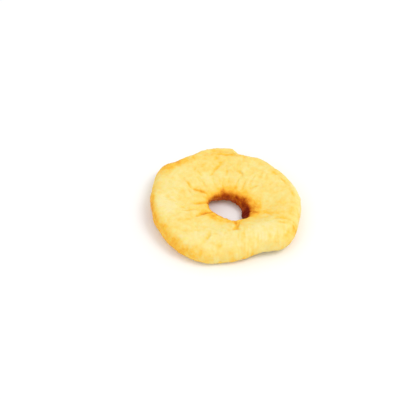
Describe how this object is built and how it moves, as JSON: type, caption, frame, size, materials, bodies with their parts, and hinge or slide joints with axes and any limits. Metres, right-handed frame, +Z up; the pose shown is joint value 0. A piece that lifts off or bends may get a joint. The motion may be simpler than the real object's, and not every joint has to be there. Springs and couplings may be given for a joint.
{
  "type": "dried apple ring",
  "caption": "Round slice of peeled and cored apple, dried to a leathery pale yellow ring with a creased top face and a hole through its middle, eaten as a snack or used in baking.",
  "frame": {"origin": "on the surface it lies on, under the middle of the ring's bounding box", "axes": "+Z up, out of the shown face; -Y towards the near edge in the picture; +X to the right in the picture"},
  "size_m": [0.0576, 0.0582, 0.01],
  "materials": {
    "apple_flesh": null
  },
  "bodies": {
    "root": {"apple_ring": "apple_flesh"}
  },
  "joints": []
}
